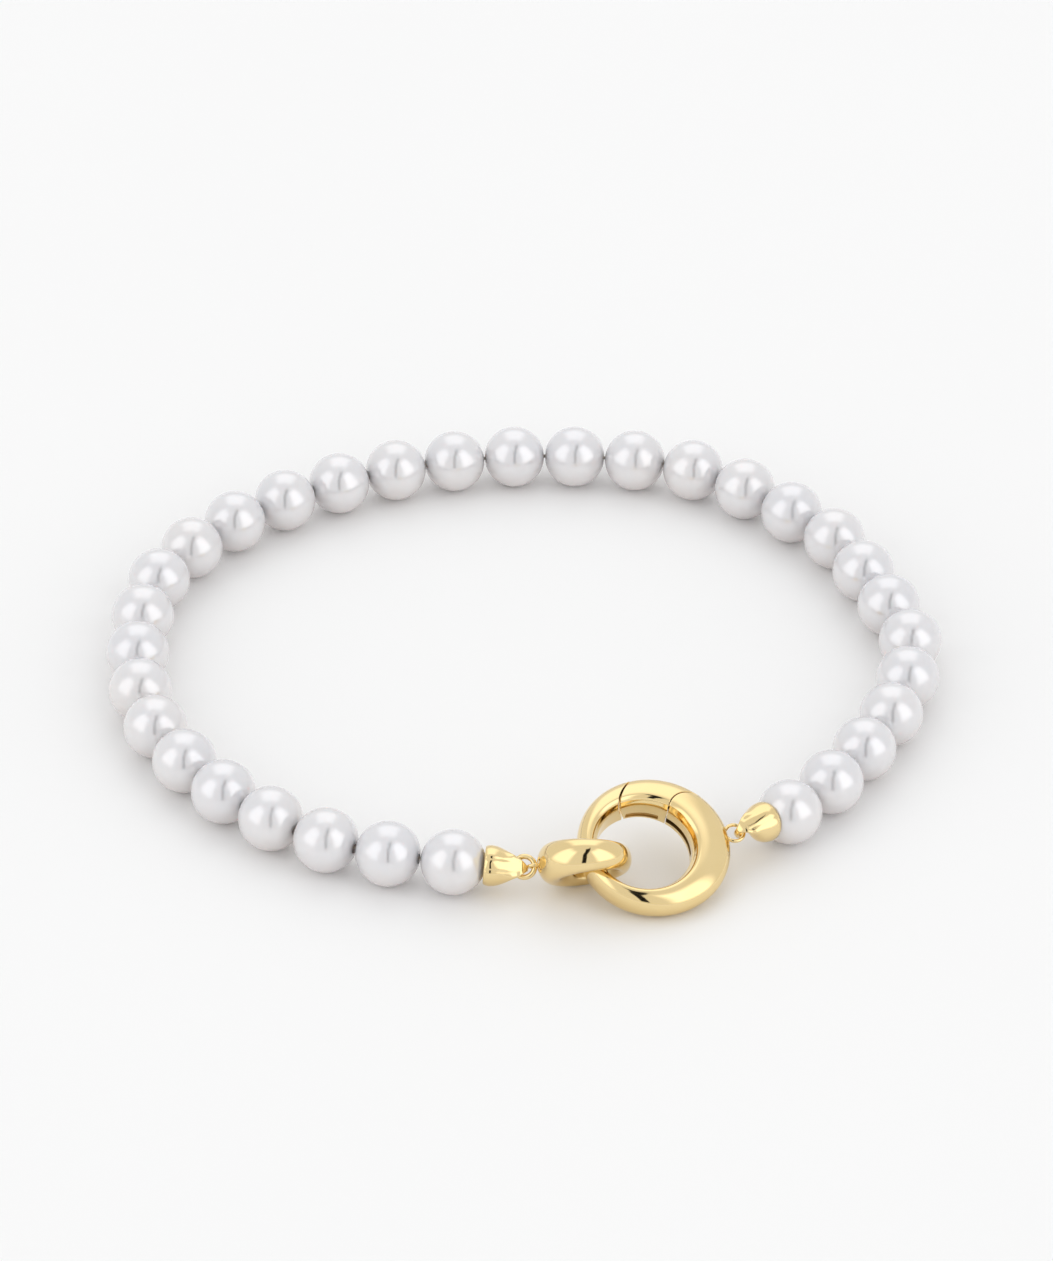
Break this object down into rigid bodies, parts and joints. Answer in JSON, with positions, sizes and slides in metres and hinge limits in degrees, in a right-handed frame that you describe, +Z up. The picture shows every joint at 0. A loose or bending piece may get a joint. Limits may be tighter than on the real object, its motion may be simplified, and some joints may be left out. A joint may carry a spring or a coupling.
{
  "type": "pearl bracelet",
  "caption": "Strand of round white pearls closed by gold-coloured bell end caps, a thick ring link and a round clasp ring with a spring gate.",
  "frame": {"origin": "middle of the whole bracelet's box, on the surface that the bracelet lies on", "axes": "+Z up from the surface; +Y from the clasp across the loop to the back of the strand; +X to the right, from the ring link towards the clasp ring"},
  "size_m": [0.0664, 0.0612, 0.0061],
  "materials": {
    "pearl": "satin white pearl lustre",
    "gold": "polished pale yellow gold plate",
    "thread": "twisted white silk"
  },
  "bodies": {
    "bracelet": {"pearl_01": "pearl", "pearl_02": "pearl", "pearl_03": "pearl", "pearl_04": "pearl", "pearl_05": "pearl", "pearl_06": "pearl", "pearl_07": "pearl", "pearl_08": "pearl", "pearl_09": "pearl", "pearl_10": "pearl", "pearl_11": "pearl", "pearl_12": "pearl", "pearl_13": "pearl", "pearl_14": "pearl", "pearl_15": "pearl", "pearl_16": "pearl", "pearl_17": "pearl", "pearl_18": "pearl", "pearl_19": "pearl", "pearl_20": "pearl", "pearl_21": "pearl", "pearl_22": "pearl", "pearl_23": "pearl", "pearl_24": "pearl", "pearl_25": "pearl", "pearl_26": "pearl", "pearl_27": "pearl", "pearl_28": "pearl", "pearl_29": "pearl", "pearl_30": "pearl", "pearl_31": "pearl", "pearl_32": "pearl", "stringing_thread": "thread", "clasp_ring": "gold", "clasp_hinge_pin": "gold", "ring_link": "gold", "jump_ring_left": "gold", "end_cap_left": "gold", "end_cap_right": "gold"},
    "gate": {"clasp_gate": "gold"}
  },
  "joints": [
    {"name": "gate_hinge", "type": "hinge", "parent": "bracelet", "child": "gate", "pos_m": [0.01302, -0.02248, 0.00356], "axis": [0.1149, -0.348, 0.9304], "range_deg": [0, 22], "stiffness_Nm_per_rad": 0.002, "springref_deg": -28.65}
  ]
}
